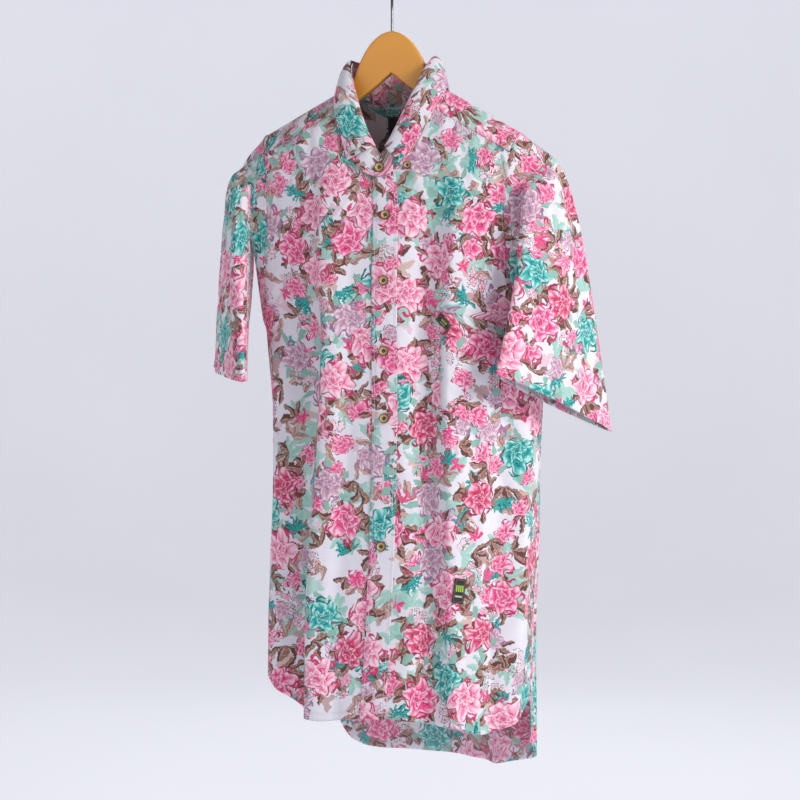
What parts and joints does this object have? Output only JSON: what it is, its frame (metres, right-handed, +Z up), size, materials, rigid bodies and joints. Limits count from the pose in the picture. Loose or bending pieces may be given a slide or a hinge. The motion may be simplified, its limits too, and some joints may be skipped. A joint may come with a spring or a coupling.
{
  "type": "hawaiian shirt on a wooden hanger",
  "caption": "Short-sleeved floral button-front shirt with a collar, chest pocket and curved tail, hung on a flat wooden hanger with a wire hook.",
  "frame": {"origin": "inside top of the hanger's hook, where a rail carries it", "axes": "+Z up, the shirt's front faces -Y, the wearer's left is +X"},
  "size_m": [0.5028, 0.2031, 0.9546],
  "materials": {
    "print_cotton": "plain-weave cotton with a large floral print in pinks, teal, mint and brown on pale lilac white",
    "label_weave": "black woven tape with small lime marks",
    "button_horn": "tan horn-effect resin with a dark rim and centre",
    "honey_wood": "honey-coloured satin lacquer with fine grain",
    "hook_steel": "plain steel wire"
  },
  "bodies": {
    "root": {"front_left": "print_cotton", "front_right": "print_cotton", "placket": "print_cotton", "back": "print_cotton", "yoke": "print_cotton", "sleeve_left": "print_cotton", "sleeve_right": "print_cotton", "collar_stand": "print_cotton", "collar_leaf": "print_cotton", "pocket": "print_cotton", "neck_label": "label_weave", "pocket_tab": "label_weave", "hem_tab": "label_weave", "button_1": "button_horn", "button_2": "button_horn", "button_3": "button_horn", "button_4": "button_horn", "button_5": "button_horn", "button_6": "button_horn", "collar_button": "button_horn", "hanger_wood": "honey_wood", "hanger_hook": "hook_steel"}
  },
  "joints": []
}
